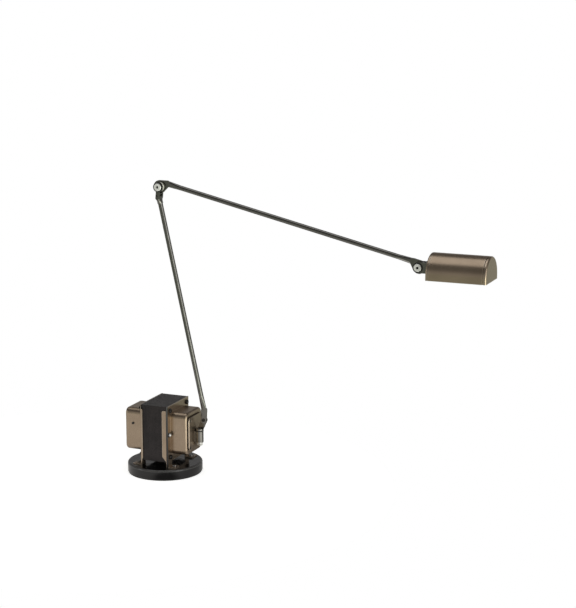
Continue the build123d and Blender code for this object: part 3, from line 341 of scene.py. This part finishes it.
# Soft clouds and fine grain over a surface, both from 0 to 1.
mottle, start, end = value_group(
    "mottle",
    [("Scale", "NodeSocketFloat", 40.0), ("Grain Scale", "NodeSocketFloat", 900.0)],
    ["Clouds", "Grain"],
)
place = own_place(mottle)
for label, size_input, detail in (("Clouds", "Scale", 5.0), ("Grain", "Grain Scale", 3.0)):
    noise = add_node(mottle, "ShaderNodeTexNoise", Detail=detail, Roughness=0.6)
    feed(mottle, place, noise.inputs["Vector"])
    feed(mottle, start.outputs[size_input], noise.inputs["Scale"])
    feed(mottle, opened(mottle, noise), end.inputs[label])

# Edges and corners where the finish is rubbed thin, 1 at the edge. On the foot and the bronze
# the pale edges it gives also stand as a painted highlight.
wear_and_highlight, start, end = value_group(
    "wear_and_highlight_edge",
    [("Reach", "NodeSocketFloat", 0.0006), ("Breakup Scale", "NodeSocketFloat", 260.0)],
    ["Mask"],
)
bevel = add_node(wear_and_highlight, "ShaderNodeBevel", samples=4)
feed(wear_and_highlight, start.outputs["Reach"], bevel.inputs["Radius"])
plain = add_node(wear_and_highlight, "ShaderNodeNewGeometry").outputs["Normal"]
alike = vectors(wear_and_highlight, "DOT_PRODUCT", bevel.outputs[0], plain)["Value"]
bend = maths(wear_and_highlight, "SUBTRACT", 1.0, alike)
broken = add_node(wear_and_highlight, "ShaderNodeTexNoise", Detail=4.0)
feed(wear_and_highlight, own_place(wear_and_highlight), broken.inputs["Vector"])
feed(wear_and_highlight, start.outputs["Breakup Scale"], broken.inputs["Scale"])
edge_wear_and_highlight = maths(wear_and_highlight, "MULTIPLY", maths(wear_and_highlight, "MULTIPLY", bend, wear_gain), broken.outputs[0])
feed(wear_and_highlight, maths(wear_and_highlight, "MINIMUM", edge_wear_and_highlight, 1.0), end.inputs["Mask"])


def place_group(tree, group, **values):
    """Use of a node group, with its inputs set by name."""
    return add_node(tree, "ShaderNodeGroup", node_tree=group, **values)


def surface(name, metallic=0.0, roughness=0.5, ior=1.5):
    """New material with only its Principled shader; gives the material, tree and shader."""
    made = bpy.data.materials.new(name)
    made.use_nodes = True
    tree = made.node_tree
    shader = tree.nodes["Principled BSDF"]
    shader.inputs["Metallic"].default_value = metallic
    shader.inputs["Roughness"].default_value = roughness
    shader.inputs["IOR"].default_value = ior
    return made, tree, shader


def roughen(tree, shader, mask, smooth, rough):
    """Roughness that runs from smooth to rough with the mask."""
    feed(tree, ramp(tree, mask, 0.0, 1.0, smooth, rough), shader.inputs["Roughness"])


def relief(tree, shader, height, strength, distance):
    """Bump on the shader's normal."""
    made = add_node(tree, "ShaderNodeBump", Strength=strength, Distance=distance)
    feed(tree, height, made.inputs["Height"])
    feed(tree, made.outputs[0], shader.inputs["Normal"])


def from_axis(tree, middle, crosswise):
    """Distance from an axis through a point; crosswise is 1 along both directions across it."""
    offset = vectors(tree, "SUBTRACT", own_place(tree), middle)["Vector"]
    return vectors(tree, "LENGTH", vectors(tree, "MULTIPLY", offset, crosswise)["Vector"])["Value"]


def finish(material, *names):
    """Give CAD pieces their material."""
    for name in names:
        for held in nodes[name].material_slots:
            held.material = material


enamel, tree, shader = surface("black_enamel")
cover = place_group(tree, mottle, Scale=130.0, Grain_Scale=1400.0)
edge = place_group(tree, wear_and_highlight, Reach=0.0007)
colour = tinted(tree, cover.outputs["Clouds"], enamel_deep, enamel_cloud)
# Paler edges: partly rubbed enamel, partly a painted highlight.
colour = tinted(tree, edge.outputs["Mask"], colour, enamel_wear_and_highlight)
# A thin grey ring painted round the upper rim as a highlight.
span = from_axis(tree, (0.0, 0.0, 0.0), (1.0, 1.0, 0.0))
outside = ramp(tree, span, ring_inside, ring_outside, 0.0, 1.0)
above = ramp(tree, axes(tree, own_place(tree))["Z"], ring_foot, ring_top, 0.0, 1.0)
rim_highlight = maths(tree, "MULTIPLY", outside, above)
speckle = ramp(tree, cover.outputs["Grain"], 0.0, 1.0, ring_least, 1.0)
colour = tinted(tree, maths(tree, "MULTIPLY", rim_highlight, speckle), colour, rim_highlight_grey)
feed(tree, colour, shader.inputs["Base Color"])
roughen(tree, shader, cover.outputs["Clouds"], smooth=0.05, rough=0.12)
relief(tree, shader, cover.outputs["Clouds"], strength=0.14, distance=0.0006)
finish(enamel, "base_disc")


# ------------------------------------------------------------------ felt pad
# A round of black felt, glued under the foot to spare the table. It is dull and fuzzy, and only
# its cut edge is ever seen.
def fibrous(name, grain_scale, dark, pale, roughness, strength, distance):
    """Dull finish of fibres, whose grain shows in the colour and the relief."""
    made, tree, shader = surface(name, roughness=roughness)
    cover = place_group(tree, mottle, Grain_Scale=grain_scale)
    tone = tinted(tree, cover.outputs["Grain"], dark, pale)
    feed(tree, tone, shader.inputs["Base Color"])
    relief(tree, shader, cover.outputs["Grain"], strength, distance)
    return made


felt = fibrous(
    "black_felt",
    grain_scale=2500.0,
    dark=(0.012, 0.014, 0.012),
    pale=(0.04, 0.044, 0.04),
    roughness=0.95,
    strength=0.9,
    distance=0.0005,
)
finish(felt, "base_pad")

# ------------------------------------------------------------------ laminated core
# Sheets of transformer iron with two windows each, stacked along X and dipped in dark varnish.
# No two sheets end quite level, so the sides of the stack show as fine upright lines.
sheet_count = 70
sheet_gap = 0.00010
sheet_stray = 0.00010
stray_seed = 84
leg_half = 0.014
window_reach = 0.021
window_top = 0.028
core_low, core_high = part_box("core")
sheet_step = (core_high.x - core_low.x) / sheet_count
mid = (core_low.z + core_high.z) / 2
varnish_dark = (0.007, 0.0055, 0.0055)
varnish_line = (0.024, 0.019, 0.019)
varnish_cloud = (0.034, 0.027, 0.027)

# Fine lines of rolling, drawing or polishing: long in one direction, close in the others.
drawn, start, end = value_group(
    "drawn_lines",
    [
        ("Scale", "NodeSocketVector", (40.0, 2000.0, 2000.0)),
        ("Turn", "NodeSocketVector", (0.0, 0.0, 0.0)),
    ],
    ["Lines"],
)
turned = add_node(drawn, "ShaderNodeVectorRotate", rotation_type="EULER_XYZ")
feed(drawn, own_place(drawn), turned.inputs["Vector"])
feed(drawn, start.outputs["Turn"], turned.inputs["Rotation"])
stretch = vectors(drawn, "MULTIPLY", turned.outputs[0], start.outputs["Scale"])["Vector"]
noise = add_node(drawn, "ShaderNodeTexNoise", Scale=1.0, Detail=3.0)
feed(drawn, stretch, noise.inputs["Vector"])
feed(drawn, opened(drawn, noise), end.inputs["Lines"])


def block(shape, low, high):
    """Closed box between two corners, added to the bmesh."""
    made = bmesh.ops.create_cube(shape, size=1.0)["verts"]
    low = Vector(low)
    high = Vector(high)
    bmesh.ops.scale(shape, verts=made, vec=high - low)
    bmesh.ops.translate(shape, verts=made, vec=(low + high) / 2)


def piece(name, shape, body, material):
    """Finished mesh of a new piece, riding on its body."""
    data = bpy.data.meshes.new(name)
    shape.to_mesh(data)
    shape.free()
    data.materials.append(material)
    made = bpy.data.objects.new(name, data)
    scene.collection.objects.link(made)
    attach(made, body)
    return made


varnished, tree, shader = surface("varnished_iron", metallic=0.3)
cover = place_group(tree, mottle, Scale=45.0, Grain_Scale=900.0)
sheets = place_group(tree, drawn, Scale=(1600.0, 14.0, 14.0))
colour = tinted(tree, sheets.outputs["Lines"], varnish_dark, varnish_line)
colour = tinted(tree, cover.outputs["Clouds"], colour, varnish_cloud)
feed(tree, colour, shader.inputs["Base Color"])
roughen(tree, shader, cover.outputs["Grain"], smooth=0.26, rough=0.42)
relief(tree, shader, cover.outputs["Grain"], strength=0.2, distance=0.0002)

chance = random.Random(stray_seed)
stack = bmesh.new()
for count in range(sheet_count):
    near = core_low.x + count * sheet_step + sheet_gap / 2
    far = near + sheet_step - sheet_gap
    side = core_high.y - chance.uniform(0, sheet_stray)
    front = core_low.y + chance.uniform(0, sheet_stray)
    top = core_high.z - chance.uniform(0, sheet_stray)
    foot = core_low.z + chance.uniform(0, sheet_stray)
    block(stack, (near, front, foot), (far, -window_reach, top))
    block(stack, (near, window_reach, foot), (far, side, top))
    block(stack, (near, -window_reach, mid + window_top), (far, window_reach, top))
    block(stack, (near, -window_reach, foot), (far, window_reach, mid - window_top))
    block(stack, (near, -window_reach, mid - leg_half), (far, window_reach, mid + leg_half))
laminations = piece("laminations", stack, "base", varnished)
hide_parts("core")

# ------------------------------------------------------------------ coil
# Two windings of enamelled copper wire lie side by side on a brown moulded bobbin round the
# core's middle leg. The terminal block in the left bell is of the same brown resin.
copper_deep = (0.35, 0.12, 0.04)
copper_bright = (0.7, 0.3, 0.12)
grain_depth = 0.0001


def clouded(name, scale, grain_scale, dark, pale, smooth, rough, metallic=0.0, bump=0.0):
    """Finish with soft clouds in its colour and a fine grain in its gloss and its relief."""
    made, tree, shader = surface(name, metallic=metallic)
    cover = place_group(tree, mottle, Scale=scale, Grain_Scale=grain_scale)
    tone = tinted(tree, cover.outputs["Clouds"], dark, pale)
    feed(tree, tone, shader.inputs["Base Color"])
    roughen(tree, shader, cover.outputs["Grain"], smooth, rough)
    if bump:
        relief(tree, shader, cover.outputs["Grain"], bump, grain_depth)
    return made


brown = clouded(
    "brown_moulding",
    scale=100.0,
    grain_scale=1500.0,
    dark=(0.05, 0.03, 0.018),
    pale=(0.09, 0.055, 0.03),
    smooth=0.42,
    rough=0.6,
)
finish(brown, "bobbin", "terminal_block")

copper, tree, shader = surface("enamelled_copper", metallic=1.0, roughness=0.35)
turns = place_group(tree, drawn, Scale=(10.0, 2200.0, 10.0))
colour = tinted(tree, turns.outputs["Lines"], copper_deep, copper_bright)
feed(tree, colour, shader.inputs["Base Color"])
relief(tree, shader, turns.outputs["Lines"], strength=0.6, distance=0.0003)
finish(copper, "primary_winding", "secondary_winding")

# ------------------------------------------------------------------ end bells, plate and shade
# The bells and the end plate are pressed from sheet steel, and the shade is rolled and closed
# by two pressed caps. All have one satin bronze lacquer whose pale edges are partly rubbed and
# partly a painted highlight, and a dark line is painted down the folds of the right bell's lips.
bronze_dark = (0.33, 0.255, 0.185)
bronze_cloud = (0.38, 0.295, 0.215)
bronze_grain = (0.41, 0.33, 0.245)
bronze_wear_and_highlight = (0.66, 0.58, 0.48)
bronze_shine = 0.92
grain_share = 0.2
fold_line_dark = (0.012, 0.01, 0.009)
fold_place = 0.0215
fold_line_full = 0.0010
fold_line_edge = 0.0014
lip_start = 0.0342
lip_full = 0.0346


def bronze(name):
    """Satin bronze lacquer; gives the material, tree, shader and colour socket."""
    made, tree, shader = surface(name, metallic=bronze_shine)
    cover = place_group(tree, mottle, Scale=30.0, Grain_Scale=2600.0)
    edge = place_group(tree, wear_and_highlight, Reach=0.0018)
    tone = tinted(tree, cover.outputs["Clouds"], bronze_dark, bronze_cloud)
    grain = maths(tree, "MULTIPLY", cover.outputs["Grain"], grain_share)
    tone = tinted(tree, grain, tone, bronze_grain)
    # Pale edges: partly rubbed lacquer, partly a painted highlight.
    tone = tinted(tree, edge.outputs["Mask"], tone, bronze_wear_and_highlight)
    roughen(tree, shader, cover.outputs["Grain"], smooth=0.24, rough=0.34)
    relief(tree, shader, cover.outputs["Grain"], strength=0.06, distance=0.00008)
    return made, tree, shader, tone


bell_bronze, tree, shader, colour = bronze("bronze_bells")
across = axes(tree, own_place(tree))
# A dark line without shine is painted down the fold of each lip of the right bell.
off_fold = maths(tree, "ABSOLUTE", maths(tree, "SUBTRACT", across["X"], fold_place))
beside = maths(tree, "ABSOLUTE", across["Y"])
at_fold = ramp(tree, off_fold, fold_line_edge, fold_line_full, 0.0, 1.0)
on_lip = ramp(tree, beside, lip_start, lip_full, 0.0, 1.0)
fold_line = maths(tree, "MULTIPLY", at_fold, on_lip)
feed(tree, tinted(tree, fold_line, colour, fold_line_dark), shader.inputs["Base Color"])
feed(tree, ramp(tree, fold_line, 0.0, 1.0, bronze_shine, 0.0), shader.inputs["Metallic"])
finish(bell_bronze, "left_bell", "right_bell")

sheet_bronze, tree, shader, colour = bronze("bronze_lacquer")
feed(tree, colour, shader.inputs["Base Color"])
finish(sheet_bronze, "end_plate", "shade_body", "left_cap", "right_cap")


# ------------------------------------------------------------------ steel fasteners
# The long core bolts, their nuts, the stop pin and the small screws are of blacked steel. The
# screws that hold the bells' feet to the iron disc are plain oiled steel. Tools and handling
# have rubbed all their edges bright.
def fastener_steel(name, dark, pale, edge_wear_and_highlight, smooth, rough):
    """Turned steel with rubbed edges; gives the material."""
    made, tree, shader = surface(name, metallic=1.0)
    cover = place_group(tree, mottle, Scale=400.0, Grain_Scale=3000.0)
    edge = place_group(tree, wear_and_highlight, Reach=0.0003)
    tone = tinted(tree, cover.outputs["Clouds"], dark, pale)
    tone = tinted(tree, edge.outputs["Mask"], tone, edge_wear_and_highlight)
    feed(tree, tone, shader.inputs["Base Color"])
    roughen(tree, shader, cover.outputs["Grain"], smooth, rough)
    return made


blacked = fastener_steel(
    "blacked_steel",
    dark=(0.03, 0.028, 0.027),
    pale=(0.06, 0.056, 0.053),
    edge_wear_and_highlight=(0.32, 0.31, 0.3),
    smooth=0.34,
    rough=0.55,
)
finish(blacked, "core_bolts", "core_nuts", "terminal_screw", "plate_screws")
finish(blacked, "tilt_screw", "tilt_nut", "stop_pin")

oiled = fastener_steel(
    "oiled_steel",
    dark=(0.16, 0.155, 0.15),
    pale=(0.26, 0.25, 0.24),
    edge_wear_and_highlight=(0.6, 0.58, 0.56),
    smooth=0.18,
    rough=0.32,
)
finish(oiled, "foot_screws")

# ------------------------------------------------------------------ black mouldings
# The mains switch with its frame, the cable gland with its nut, and the thin washers of the
# three arm joints are moulded in black plastic, with a satin skin from the mould.
moulded = clouded(
    "black_moulding",
    scale=120.0,
    grain_scale=2200.0,
    dark=(0.008, 0.008, 0.008),
    pale=(0.02, 0.02, 0.02),
    smooth=0.3,
    rough=0.5,
    bump=0.2,
)
finish(moulded, "rocker_frame", "rocker", "cable_gland", "gland_nut")
finish(moulded, "tilt_washer", "elbow_washers", "head_washers")

# ------------------------------------------------------------------ rubber pieces
# The gasket behind the end plate and three washers are punched from black rubber sheet. The
# leads inside the two arms have a rubber jacket of the same dull black.
rubber = clouded(
    "black_rubber",
    scale=200.0,
    grain_scale=1800.0,
    dark=(0.007, 0.007, 0.007),
    pale=(0.018, 0.017, 0.016),
    smooth=0.6,
    rough=0.85,
    bump=0.3,
)
finish(rubber, "gasket", "earth_washer", "swivel_washer", "roll_washer")
finish(rubber, "lower_lead", "upper_lead")

# ------------------------------------------------------------------ nickel screws and nuts
# The earth screw, and the bolts and sleeve nuts of the elbow and of the head joint, are turned
# steel in bright satin nickel. The hexagon sockets of the two bolts are painted black as the
# shade inside them.
nickel_shine = 0.55
nickel_dark = (0.8, 0.79, 0.77)
nickel_pale = (0.9, 0.89, 0.87)
nickel_rubbed = (0.95, 0.94, 0.92)
socket_shade_black = (0.006, 0.006, 0.006)
socket_reach = 0.0019
socket_edge = 0.0002


def bright_nickel(name):
    """Nickel plate with a satin grain; gives the material, tree, shader and colour socket."""
    made, tree, shader = surface(name, metallic=nickel_shine)
    cover = place_group(tree, mottle, Scale=300.0, Grain_Scale=3500.0)
    edge = place_group(tree, wear_and_highlight, Reach=0.0003)
    tone = tinted(tree, cover.outputs["Clouds"], nickel_dark, nickel_pale)
    tone = tinted(tree, edge.outputs["Mask"], tone, nickel_rubbed)
    roughen(tree, shader, cover.outputs["Grain"], smooth=0.32, rough=0.48)
    return made, tree, shader, tone


nickel, tree, shader, colour = bright_nickel("bright_nickel")
feed(tree, colour, shader.inputs["Base Color"])
finish(nickel, "earth_screw", "elbow_sleeve_nut", "head_sleeve_nut")

for name in ("elbow_bolt", "head_bolt"):
    low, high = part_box(name)
    shaded_bolt, tree, shader, colour = bright_nickel(name + "_nickel")
    # Painted shade: the inside of the bolt's hexagon socket is black and without shine.
    span = from_axis(tree, (low + high) / 2, (1.0, 0.0, 1.0))
    socket_shade = ramp(tree, span, socket_reach, socket_reach - socket_edge, 0.0, 1.0)
    feed(tree, tinted(tree, socket_shade, colour, socket_shade_black), shader.inputs["Base Color"])
    feed(tree, ramp(tree, socket_shade, 0.0, 1.0, nickel_shine, 0.0), shader.inputs["Metallic"])
    finish(shaded_bolt, name)

# ------------------------------------------------------------------ zinc-plated hardware
# Small steel parts that are hidden or nearly so: the swivel's screws, pin, spring washer and
# nut, the roll nut, and the lamp holder's strap, rivets and screws. The zinc is grey and dull,
# and the capsule's two pins look much the same.
zinc = clouded(
    "zinc_plate",
    metallic=1.0,
    scale=500.0,
    grain_scale=3500.0,
    dark=(0.42, 0.42, 0.4),
    pale=(0.58, 0.58, 0.56),
    smooth=0.28,
    rough=0.5,
)
finish(zinc, "barrel_screws", "swivel_pin", "spring_washer", "swivel_nut", "roll_nut")
finish(zinc, "holder_strap", "strap_rivets", "holder_screws", "capsule_pins")

# ------------------------------------------------------------------ arms, forks and swivel
# The arms are steel tubes with pressed ends. They are polished along their length and plated in
# dark nickel, as are the forks of the elbow and head and the swivel's barrel and bracket.
elbow_place = Vector((-0.0019, 0.0, 0.4255))
head_place = Vector((0.3925, 0.0, 0.3357))
tilt_place = Vector((0.0642, 0.0, 0.0838))
upright = math.pi / 2
plate_dark = (0.13, 0.127, 0.117)
plate_cloud = (0.17, 0.166, 0.153)
plate_streak = (0.2, 0.195, 0.18)
plate_rubbed = (0.38, 0.37, 0.34)
streak_share = 0.4


def dark_nickel(name, turn):
    """Dark plate with its polishing lines turned about Y; gives the material."""
    made, tree, shader = surface(name, metallic=1.0)
    cover = place_group(tree, mottle, Scale=60.0, Grain_Scale=2800.0)
    lines = place_group(tree, drawn, Scale=(30.0, 2600.0, 2600.0), Turn=(0.0, turn, 0.0))
    edge = place_group(tree, wear_and_highlight, Reach=0.0004)
    tone = tinted(tree, cover.outputs["Clouds"], plate_dark, plate_cloud)
    streak = maths(tree, "MULTIPLY", lines.outputs["Lines"], streak_share)
    tone = tinted(tree, streak, tone, plate_streak)
    tone = tinted(tree, edge.outputs["Mask"], tone, plate_rubbed)
    feed(tree, tone, shader.inputs["Base Color"])
    roughen(tree, shader, lines.outputs["Lines"], smooth=0.12, rough=0.22)
    return made


def turn_along(start, end):
    """Turn about Y that lays the polishing lines along the way between two points."""
    way = end - start
    return -math.atan2(-way.z, way.x)


upper_nickel = dark_nickel("dark_nickel_upper", turn_along(elbow_place, head_place))
finish(upper_nickel, "upper_arm", "elbow_fork", "head_fork")
lower_nickel = dark_nickel("dark_nickel_lower", turn_along(elbow_place, tilt_place))
finish(lower_nickel, "lower_arm")
finish(dark_nickel("dark_nickel_swivel", upright), "swivel_bracket", "swivel_barrel")

# ------------------------------------------------------------------ spacers
# Turned rings of pale nylon between the cheeks and the flattened ends of the tubes, one pair in
# the elbow and one in the head joint. They keep the plated faces from rubbing.
nylon = clouded(
    "pale_nylon",
    scale=200.0,
    grain_scale=2000.0,
    dark=(0.68, 0.66, 0.6),
    pale=(0.8, 0.78, 0.72),
    smooth=0.42,
    rough=0.6,
)
finish(nylon, "elbow_spacers", "head_spacers")

# ------------------------------------------------------------------ reflector
# Bright aluminium sheet, rolled to a half round and sprung between the spigots of the shade's
# caps. Fine lines from the rolling run along the shade.
aluminium_dark = (0.74, 0.74, 0.73)
aluminium_pale = (0.86, 0.86, 0.85)

rolled, tree, shader = surface("bright_aluminium", metallic=1.0)
lines = place_group(tree, drawn, Scale=(30.0, 2400.0, 2400.0))
colour = tinted(tree, lines.outputs["Lines"], aluminium_dark, aluminium_pale)
feed(tree, colour, shader.inputs["Base Color"])
roughen(tree, shader, lines.outputs["Lines"], smooth=0.14, rough=0.3)
finish(rolled, "reflector")

# ------------------------------------------------------------------ lamp holder and leads
# The holder is pressed and fired from steatite, a cream-white ceramic, and screwed to its strap.
# The two leads that enter it have sleeves of woven glass yarn against the heat.
ceramic = clouded(
    "steatite",
    scale=150.0,
    grain_scale=2000.0,
    dark=(0.7, 0.66, 0.58),
    pale=(0.82, 0.79, 0.72),
    smooth=0.5,
    rough=0.7,
    bump=0.3,
)
finish(ceramic, "lamp_holder")

sleeve = fibrous(
    "woven_sleeve",
    grain_scale=4000.0,
    dark=(0.5, 0.48, 0.42),
    pale=(0.78, 0.76, 0.7),
    roughness=0.8,
    strength=0.6,
    distance=0.0002,
)
finish(sleeve, "lamp_leads")

# ------------------------------------------------------------------ capsule lamp
# A bare low-voltage halogen capsule, plugged into the holder by its two pins. Its envelope is
# clear quartz glass, drawn and sealed, with the faintest blue.
quartz_clear = (0.97, 0.98, 1.0, 1.0)
quartz_ior = 1.46

quartz, tree, shader = surface("quartz_glass", roughness=0.02, ior=quartz_ior)
shader.inputs["Transmission Weight"].default_value = 1.0
shader.inputs["Base Color"].default_value = quartz_clear
finish(quartz, "capsule")
